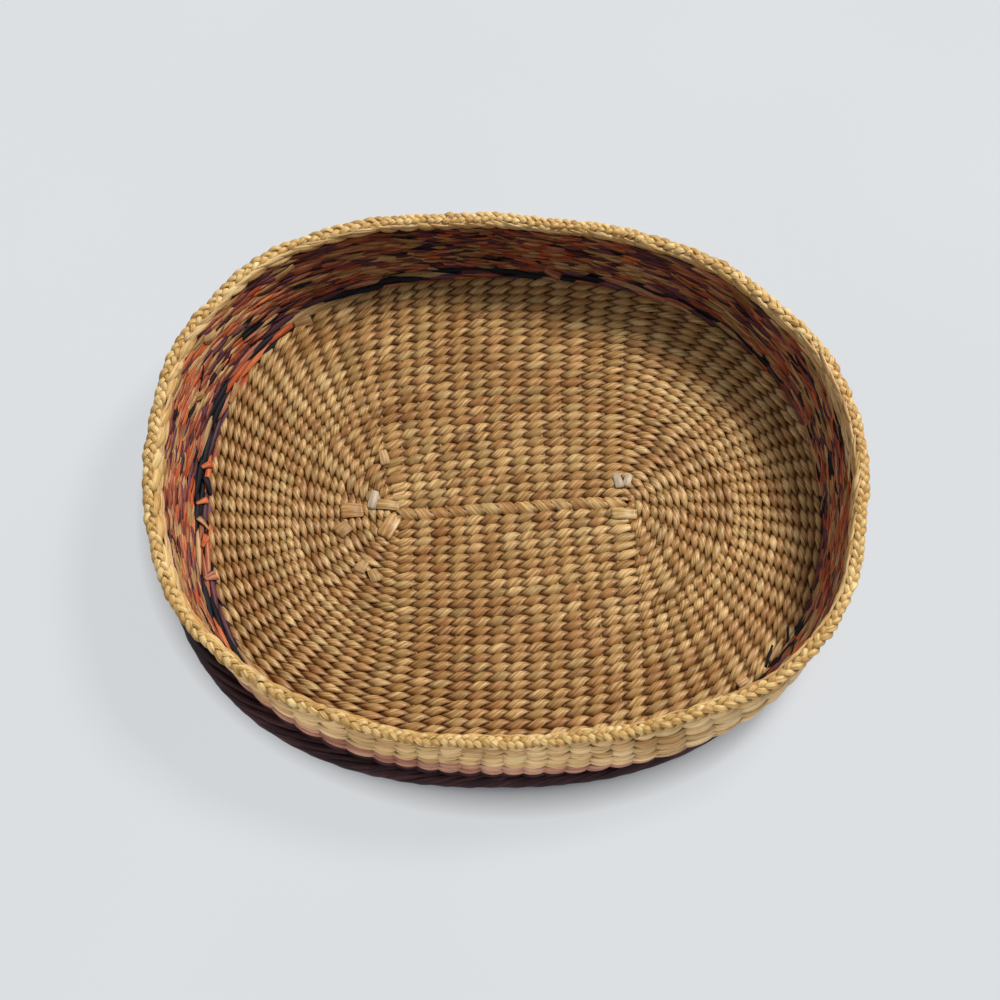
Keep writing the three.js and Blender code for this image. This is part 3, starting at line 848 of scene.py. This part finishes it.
def foot_wale():
    """Straws laid side by side round a core, with a long twist that rises to the right outside."""
    draws = np.random.default_rng(WALE_SEED)
    share = np.arange(WALE_STEPS) / WALE_STEPS
    place = LEGS * share
    base, foot = around(BASE_EDGE, place), around(FOOT_EDGE, place)
    along = unit(at_level(np.roll(foot, -1, 0) - np.roll(foot, 1, 0), 0))
    outer = np.cross(along, UP)
    inside = at_level(base + (foot - base) * WALE_SEAT, WALE_LEVEL)
    thick_share = (1 + np.cos(np.arctan2(foot[:, 1], foot[:, 0]) - math.radians(WALE_THICK_SIDE))) / 2
    reach = WALE_THIN_REACH + thick_share * (WALE_THICK_REACH - WALE_THIN_REACH)
    outside = at_level(foot, WALE_LEVEL) + outer * reach[:, None]
    centre = (inside + outside) / 2
    half_depth = np.linalg.norm(outside - inside, axis=-1) / 2 - WALE_STRAND_SUNK * WALE_STRAND[1]
    half_height = WALE_HALF_HEIGHT - WALE_STRAND[1]

    def uneven(low, high):
        return np.interp(place, np.arange(LEGS), draws.uniform(low, high, LEGS), period=LEGS)

    bundle = StrawBundle(left_shift=0)
    for strand in range(WALE_STRANDS):
        angle = 2 * np.pi * (WALE_TWISTS * share + strand / WALE_STRANDS)
        sideways, upward = np.cos(angle)[:, None], np.sin(angle)[:, None]
        path = centre + outer * sideways * half_depth[:, None] + UP * upward * half_height
        outward = outer * sideways / half_depth[:, None] + UP * upward / half_height
        swell = uneven(*WALE_SWELL)
        bundle.lay(path[None], outward[None], WALE_STRAND[0] * swell, WALE_STRAND[1] * swell,
                   uneven(0, 1), WALE_DIP, ring=True)
    set_piece(bundle, "foot_wale_strands", [aubergine_straw], "aubergine_straw", "foot_wale")


# Rows as shares of the turn-up, and floats over two stakes
FOOT_ROWS = (0.02, 0.26, 0.5, 0.74, 0.98)
FOOT_FLOAT = (1.5, 0.75)
FOOT_FLOAT_STEPS = 11
FOOT_SPAN = 2
FOOT_OVERLAP = 1.35
FOOT_SLANT = 1.6
FOOT_LEAN = 0.4
FOOT_DRIFT = 0.3
FOOT_WIDTH_RANGE = (0.92, 1.15)
FOOT_ARCH_POWER = 0.6
FOOT_END_SIZE = 0.3
FOOT_BEHIND = 0.6
FOOT_DYE_SHARES = (0.14, 0.07, 0.2, 0.45, 0.14)
FOOT_SEED = 32
BASE_BRINK = 0.999


def corner_frame(place):
    """The turn-up from the base to the wall: its low and high line, and directions along, up and inward."""
    low = base_point(place, np.full_like(place, BASE_BRINK))
    high = wall_point(place, np.full_like(place, FOOT_LEVEL))
    along = wall_frame(place, FOOT_LEVEL)[0]
    slope = unit(high - low)
    return low, high, along, slope, unit(np.cross(slope, along))


def foot_rows():
    """Floats on the turn-up from the base to the wall, mostly blue-black."""
    draws = np.random.default_rng(FOOT_SEED)
    count = LEGS // FOOT_SPAN

    def uneven(low, high):
        return draws.uniform(low, high, (count, 1))

    bundle = StrawBundle()
    u = np.linspace(0, 1, FOOT_FLOAT_STEPS)
    half_wave = np.sin(np.pi * u)
    arch = half_wave ** FOOT_ARCH_POWER
    shape = FOOT_END_SIZE + (1 - FOOT_END_SIZE) * arch
    inside = (STAKE_HALF_THICKNESS + FOOT_FLOAT[1]) * arch + FOOT_LEAN * (0.5 - u)
    for number, row in enumerate(FOOT_ROWS):
        # The pair's other half lies behind the stakes, one stake along
        for lag, out in ((0, inside), (1, -FOOT_BEHIND * half_wave)):
            starts = number + lag + FOOT_SPAN * np.arange(count)[:, None]
            place = starts + uneven(-FOOT_DRIFT, FOOT_DRIFT) + FOOT_OVERLAP * FOOT_SPAN * u
            low, high, _, slope, inward = corner_frame(place)
            climb = FOOT_SLANT * (u - 0.5) + uneven(-FOOT_DRIFT, FOOT_DRIFT)
            path = low + (high - low) * row + inward * out[:, None] + slope * climb[..., None]
            # Painted shade: the floats darken towards their ends, where they dive
            dip = np.broadcast_to(1 - half_wave ** DIP_POWER, place.shape)
            bundle.lay(path, inward, FOOT_FLOAT[0] * shape * uneven(*FOOT_WIDTH_RANGE),
                       FOOT_FLOAT[1] * shape, uneven(0, 1), dip,
                       draws.choice(len(FOOT_DYE_SHARES), count, p=FOOT_DYE_SHARES))
    set_piece(bundle, "foot_row_strands", DYES, "russet_straw", "foot_row_inner")


foot_wale()
foot_rows()


# Rim: a fine plait along the outer edge, and wide pale floats folded over the inner edge

PLAIT_PERIODS = 72
PLAIT_STEPS = 16
PLAIT_STRANDS = 3
PLAIT_OFFSET = 1.5
PLAIT_LEVEL = 47.9
PLAIT_SWAY = 1.75
PLAIT_RISE = 0.95
PLAIT_STRAND = (1.5, 0.85)
PLAIT_LEAN = 0.5
# Unevenness of the stitches: ranges of swing, rise, width and thickness, and drift in swings and rises
SWAY_RANGE = (0.7, 1.3)
SWAY_DRIFT = 0.35
RISE_RANGE = (0.7, 1.15)
RISE_DRIFT = 0.3
PLAIT_WIDTH_RANGE = (0.85, 1.15)
PLAIT_THICKNESS_RANGE = (0.85, 1.1)
# The folded floats are wider at the left end and sit a little higher elsewhere
FOLD_LEVEL = 46.4
FOLD_LIFT = 0.2
FOLD_HALF_WIDTHS = (1.6, 2.35)
FOLD_HALF_THICKNESS = 0.75
FOLD_LIE = {"side": 1, "slant": 2.6, "overlap": 1.35, "stagger": 0.2, "loose": 0.5, "tilt": 0.8}
PLAIT_SEED, FOLD_SEED = 51, 52


def lay_plait(bundle):
    """Three strands that swing across the edge and over each other, a third of a period apart."""
    draws = np.random.default_rng(PLAIT_SEED)
    share = np.arange(PLAIT_PERIODS * PLAIT_STEPS) / (PLAIT_PERIODS * PLAIT_STEPS)
    line = at_level(around(RIM_LINE, LEGS * share), PLAIT_LEVEL)
    outer = np.cross(unit(np.roll(line, -1, 0) - np.roll(line, 1, 0)), UP)
    centre = line + outer * PLAIT_OFFSET
    stitches = 2 * PLAIT_PERIODS

    def uneven(phase, low, high):
        drawn = draws.uniform(low, high, stitches)
        return np.interp(phase / np.pi, np.arange(stitches), drawn, period=stitches)

    for strand in range(PLAIT_STRANDS):
        phase = 2 * np.pi * (PLAIT_PERIODS * share + strand / PLAIT_STRANDS)
        stitch = np.floor(phase / np.pi).astype(int) % stitches
        swing, bob = np.sin(phase), np.sin(2 * phase)
        sway = PLAIT_SWAY * (swing * uneven(phase, *SWAY_RANGE) + uneven(phase, -SWAY_DRIFT, SWAY_DRIFT))
        rise = PLAIT_RISE * (bob * uneven(phase, *RISE_RANGE) + uneven(phase, -RISE_DRIFT, RISE_DRIFT))
        path = centre + outer * sway[:, None] + UP * rise[:, None]
        outward = UP + outer * (PLAIT_LEAN * swing)[:, None]
        # Painted shade: the dip rises where a strand passes under the others and darkens it there
        bundle.lay(path[None], outward[None], PLAIT_STRAND[0] * uneven(phase, *PLAIT_WIDTH_RANGE),
                   PLAIT_STRAND[1] * uneven(phase, *PLAIT_THICKNESS_RANGE),
                   draws.uniform(0, 1, stitches)[stitch], 0.5 - 0.5 * bob, ring=True)


def lay_folds(bundle):
    """Floats folded over the tips of the stakes, on the inside of the plait."""
    legs = np.arange(LEGS).astype(float)
    at_left = np.sqrt(np.clip(-around(RIM_LINE, legs)[:, :1] / (RIM_LENGTH / 2), 0, 1))
    half_width = FOLD_HALF_WIDTHS[0] + (FOLD_HALF_WIDTHS[1] - FOLD_HALF_WIDTHS[0]) * at_left
    levels = FOLD_LEVEL + FOLD_LIFT * (1 - at_left[:, 0])
    wall_floats(bundle, legs, levels, 0, FOLD_SEED, size=(half_width, FOLD_HALF_THICKNESS), **FOLD_LIE)


def rim_plait():
    bundle = StrawBundle()
    lay_plait(bundle)
    lay_folds(bundle)
    set_piece(bundle, "rim_plait", [pale_straw], "pale_straw", "rim_braid")


rim_plait()


# Stub ends of straw left where strands were woven in

STUB_MATERIALS = [tan_straw, natural_straw, bleached_straw, russet_straw, orange_straw, ink_straw]
TAN, NATURAL, BLEACHED, RUSSET, ORANGE, INK = range(6)
STUB_HALF_THICKNESS = 0.3
STUB_STEPS = 9
STUB_TAPER = 0.15
FLAP_TAPER = 0.6
# A stub's ends are rounded off a little. It arches over the rows, four fifths of its length, from sunk ends
STUB_ROUNDING = 0.12
ROUNDING_POWER = 8
STUB_ARCH = 0.6
ARCHES_PER_LENGTH = 1.25
STUB_SUNK = 0.4
STUB_BLUNTNESS = 2.5
STUB_TONES = (0.3, 0.9)
STUB_DIP = 0.1
STUB_SEED = 61
# Where stubs lie: above the base's rows, and off the stakes on the turn-up and on the wall, with these gaps
BASE_STUB_GAP, CORNER_STUB_GAP, WALL_STUB_GAP = 0.1, 0.5, 0.4
STUB_LEVEL = STAKE_LEVEL + BASE_CREST + STRAND_HALF_THICKNESS + BASE_STUB_GAP
CORNER_STUB_OUT = STAKE_HALF_THICKNESS + 2 * FOOT_FLOAT[1] + CORNER_STUB_GAP
WALL_STUB_OUT = STAKE_HALF_THICKNESS + 2 * INNER_FLOAT[1] + WALL_STUB_GAP
# On the base: place right of and behind the focus, heading in degrees, length, half width, finish
LEFT_FOCUS_STUBS = (
    (-23, 4, 2, 11.5, 4.2, NATURAL),
    (-5, -5, 55, 13, 4.0, NATURAL),
    (-5, 6.5, -8, 12, 2.9, NATURAL),
    (-12, 9.5, 72, 10, 2.4, BLEACHED),
    (-28, -6, 40, 8, 3.8, TAN),
    (-5, 32, 100, 8, 2.6, TAN),
    (-20, -26, 60, 7, 3.0, TAN),
    (-14, -31, 110, 7, 3.0, TAN),
)
RIGHT_FOCUS_STUBS = (
    (-1, 12, 98, 8, 2.2, BLEACHED),
    (3.5, 12, 70, 7, 1.9, BLEACHED),
    (0, -6, -3, 12, 3.2, NATURAL),
)
# On the base near its edge: place in stake legs, inset, turn in degrees, length, half width, finish
EDGE_STUBS = (
    (15.2, 7, 0, 6, 2.5, TAN),
    (16.3, 6, 12, 6, 2.8, TAN),
    (17.6, 6, -8, 6, 2.4, TAN),
    (19.2, 5, 20, 12, 0.7, INK),
    (19.6, 4, 5, 14, 0.9, TAN),
    (20.4, 3, 28, 10, 0.6, INK),
)
# Where the base turns up: place in stake legs, share of the turn-up, turn, length, half width, finish
CORNER_STUBS = (
    (45.1, 0.6, 20, 9, 2.4, RUSSET),
    (57.4, 0.1, 12, 10, 3.4, TAN),
    (62.0, 0.2, -8, 11, 1.8, TAN),
    (65.9, 0.4, 50, 7, 2.0, ORANGE),
    (66.9, 0.2, -25, 9, 2.0, INK),
    (67.8, 0.5, 60, 7, 1.8, ORANGE),
    (68.9, 0.4, -50, 8, 1.6, TAN),
    (69.8, 0.4, 25, 7, 2.2, ORANGE),
    (71.6, 0.3, 80, 7, 2.8, RUSSET),
)
# On the inside of the wall: place in stake legs, level, turn in degrees, length, half width, finish
WALL_STUBS = (
    (57.5, 37, -15, 12, 1.9, NATURAL),
    (61.5, 38, 20, 9, 2.8, TAN),
    (63.4, 22, 35, 8, 2.2, TAN),
)
# Thin slivers that have come loose from the dyed rows: count, highest level, lengths, half widths, most turn
FRAYED = 60
FRAYED_TOP = 0.85 * RIM_UNDERSIDE
FRAYED_LENGTHS = (7, 14)
FRAYED_HALF_WIDTHS = (0.35, 0.75)
FRAYED_TURN = 40
FRAYED_FINISHES = (TAN, TAN, RUSSET, ORANGE, INK)


def stub_ends():
    """Short flat ends that lie on the rows, a little proud between their ends."""
    draws = np.random.default_rng(STUB_SEED)
    bundle = StrawBundle()
    u = np.linspace(0, 1, STUB_STEPS)
    rounded = 1 - STUB_ROUNDING * np.abs(2 * u - 1) ** ROUNDING_POWER
    arch = STUB_ARCH * np.sin(np.pi * np.clip(u * ARCHES_PER_LENGTH, 0, 1)) - STUB_SUNK

    def lay_stub(middle, along, across, turned, outward, shape, taper=STUB_TAPER):
        length, half_width, finish = shape
        turn = math.radians(turned)
        ahead = along * math.cos(turn) + across * math.sin(turn)
        path = middle + ahead * (u - 0.5)[:, None] * length + outward * arch[:, None]
        bundle.lay(path[None], np.broadcast_to(outward, path.shape)[None],
                   half_width * rounded * (1 - taper * u), STUB_HALF_THICKNESS,
                   draws.uniform(*STUB_TONES), STUB_DIP, finish, bluntness=STUB_BLUNTNESS)

    for end, stubs in ((-1, LEFT_FOCUS_STUBS), (1, RIGHT_FOCUS_STUBS)):
        for right, behind, heading, *shape in stubs:
            middle = np.array([BASE_SHIFT + end * SPINE_HALF + right, behind, STUB_LEVEL])
            lay_stub(middle, RIGHTWARDS, BACKWARDS, heading, UP, shape)
    for place, inset, turned, *shape in EDGE_STUBS:
        low, _, along, _, _ = (part[0] for part in corner_frame(np.array([place])))
        across = np.cross(UP, along)
        middle = np.append((low + across * inset)[:2], STUB_LEVEL)
        lay_stub(middle, along, across, turned, UP, shape)
    for place, share, turned, *shape in CORNER_STUBS:
        low, high, along, slope, inward = (part[0] for part in corner_frame(np.array([place])))
        middle = low + (high - low) * share + inward * CORNER_STUB_OUT
        lay_stub(middle, along, slope, turned, inward, shape, FLAP_TAPER)
    frayed = tuple((draws.uniform(0, LEGS), draws.uniform(FOOT_LEVEL, FRAYED_TOP),
                    draws.uniform(-FRAYED_TURN, FRAYED_TURN), draws.uniform(*FRAYED_LENGTHS),
                    draws.uniform(*FRAYED_HALF_WIDTHS), draws.choice(FRAYED_FINISHES))
                   for _ in range(FRAYED))
    for place, level, turned, *shape in WALL_STUBS + frayed:
        spot = np.array([place]), np.array([level], float)
        along, slope, inward = (part[0] for part in wall_frame(*spot))
        lay_stub(wall_point(*spot)[0] + inward * WALL_STUB_OUT, along, slope, turned, inward, shape)
    set_piece(bundle, "stub_ends", STUB_MATERIALS, "natural_straw")


stub_ends()


# Floor, light and camera, in metres

FLOOR_HALF = 2.0
FLOOR_DROP = 0.0002
MOTTLE_SCALE = 4
BOARD_ROUGHNESS = 0.85
BOARD_SHADES = ("#c8cbce", "#cfd2d5")
BACKDROP_SHADES = ("#d9dcdf", "#e0e3e6")
# Share of the open floor's look that is plain backdrop, as in the photograph, where hardly any shadow shows,
# and distances from the middle, in half lengths and widths of the base, between which that share sets in
BACKDROP_SHARE = 0.84
OPEN_FLOOR = (1.06, 1.2)
FILL_COLOUR = (0.88, 0.96, 1.0, 1.0)
FILL_STRENGTH = 0.28


def seen_directly(tree):
    """One for rays from the camera, a mirror or glass, and none for the light that falls on the basket."""
    path = add_node(tree, "LightPath").outputs
    seen = path["Is Camera Ray"]
    for ray in ("Is Glossy Ray", "Is Transmission Ray"):
        seen = add_node(tree, "Math", {0: seen, 1: path[ray]}, operation="MAXIMUM")
    return seen


def matt_board():
    """Pale matt board: a soft even white with a trace of mottling."""
    material = bpy.data.materials.new("pale_matt_board")
    tree = empty_tree(material)
    place = add_node(tree, "TexCoord").outputs["Object"]
    mottle = add_node(tree, "TexNoise", {"Vector": place, "Scale": MOTTLE_SCALE, "Detail": 2})
    lit, even = (add_node(tree, "Mix", {0: mottle, 6: linear(darker), 7: linear(lighter)}, data_type="RGBA")
                 for darker, lighter in (BOARD_SHADES, BACKDROP_SHADES))
    shader = add_node(tree, "BsdfPrincipled", {"Base Color": lit, "Roughness": BOARD_ROUGHNESS})
    backdrop = add_node(tree, "Emission", {"Color": even})
    foot_scale = (2 / (BASE_LENGTH * MM), 2 / (BASE_WIDTH * MM), 0)
    foot = add_node(tree, "VectorMath", {0: place, 1: foot_scale}, operation="MULTIPLY")
    off_foot = add_node(tree, "VectorMath", {0: foot}, operation="LENGTH")
    clear = add_node(tree, "MapRange", {"Value": off_foot, "From Min": OPEN_FLOOR[0],
                                        "From Max": OPEN_FLOOR[1], "To Max": BACKDROP_SHARE})
    share = add_node(tree, "Math", {0: seen_directly(tree), 1: clear}, operation="MULTIPLY")
    mixed = add_node(tree, "MixShader", {0: share, 1: shader, 2: backdrop})
    add_node(tree, "OutputMaterial", {"Surface": mixed})
    return material


def floor():
    corners = [(x * FLOOR_HALF, y * FLOOR_HALF, 0) for x, y in ((-1, -1), (1, -1), (1, 1), (-1, 1))]
    mesh = bpy.data.meshes.new("floor")
    mesh.from_pydata(corners, [], [(0, 1, 2, 3)])
    mesh.materials.append(matt_board())
    piece = bpy.data.objects.new("floor", mesh)
    piece.location.z = -FLOOR_DROP
    bpy.context.scene.collection.objects.link(piece)


def direction(azimuth, elevation):
    """A direction from the basket; azimuth turns from +X towards +Y."""
    flat = math.cos(math.radians(elevation))
    return Vector((flat * math.cos(math.radians(azimuth)), flat * math.sin(math.radians(azimuth)),
                   math.sin(math.radians(elevation))))


def soft_lamp(name, azimuth, elevation, distance, size, power, colour, spread=180, glints=True):
    """A soft lamp aimed at the middle of the basket; size is its width and height."""
    light = bpy.data.lights.new(name, "AREA")
    light.shape = "RECTANGLE"
    light.size, light.size_y = size
    light.energy = power
    light.color = colour
    light.spread = math.radians(spread)
    lamp = bpy.data.objects.new(name, light)
    lamp.location = direction(azimuth, elevation) * distance
    lamp.rotation_euler = lamp.location.to_track_quat("Z", "Y").to_euler()
    lamp.visible_glossy = glints
    bpy.context.scene.collection.objects.link(lamp)


def surroundings():
    """Even fill light; the camera and mirror-like surfaces see a pale backdrop."""
    world = bpy.data.worlds.new("studio")
    tree = empty_tree(world)
    bpy.context.scene.world = world
    fill = add_node(tree, "Background", {"Color": FILL_COLOUR, "Strength": FILL_STRENGTH})
    backdrop = add_node(tree, "Background", {"Color": linear("#e2e1de"), "Strength": 1.0})
    mixed = add_node(tree, "MixShader", {0: seen_directly(tree), 1: fill, 2: backdrop})
    add_node(tree, "OutputWorld", {"Surface": mixed})


def photo_camera():
    """The photograph's view: high over the front, turned a little to the left and rolled."""
    elevation, azimuth, roll = 64.2, -97.0, math.radians(6.7)
    distance = 1500 * MM
    focal_pixels, image_pixels, sensor = 3075, 1000, 36
    aim_ahead, aim_right, aim_up = 4.5 * MM, -5.5 * MM, 7.5 * MM
    back = direction(azimuth, elevation)
    level_right = Vector(UP).cross(back).normalized()
    level_up = back.cross(level_right)
    right = math.cos(roll) * level_right + math.sin(roll) * level_up
    upright = back.cross(right)
    aim = Vector((aim_ahead, 0, 0)) + right * aim_right + upright * aim_up
    data = bpy.data.cameras.new("photo_view")
    data.sensor_width = sensor
    data.lens = focal_pixels / image_pixels * sensor
    camera = bpy.data.objects.new("photo_view", data)
    turn = Matrix((right, upright, back)).transposed()
    camera.matrix_world = Matrix.Translation(aim + back * distance) @ turn.to_4x4()
    bpy.context.scene.collection.objects.link(camera)
    bpy.context.scene.camera = camera


floor()
soft_lamp("key_lamp", azimuth=43, elevation=47, distance=3.6, size=(0.9, 0.9), power=152,
          colour=(1.0, 0.97, 0.93))
soft_lamp("fill_lamp", azimuth=165, elevation=32, distance=1.8, size=(0.9, 0.9), power=5,
          colour=(1.0, 0.98, 0.96))
# A low white card in front, which lifts the outside of the front wall and stays below the rim
soft_lamp("front_card", azimuth=-100, elevation=3, distance=0.7, size=(0.9, 0.04), power=0.21,
          colour=(1.0, 0.98, 0.95), spread=24, glints=False)
surroundings()
photo_camera()
bpy.context.scene.view_settings.view_transform = "Standard"
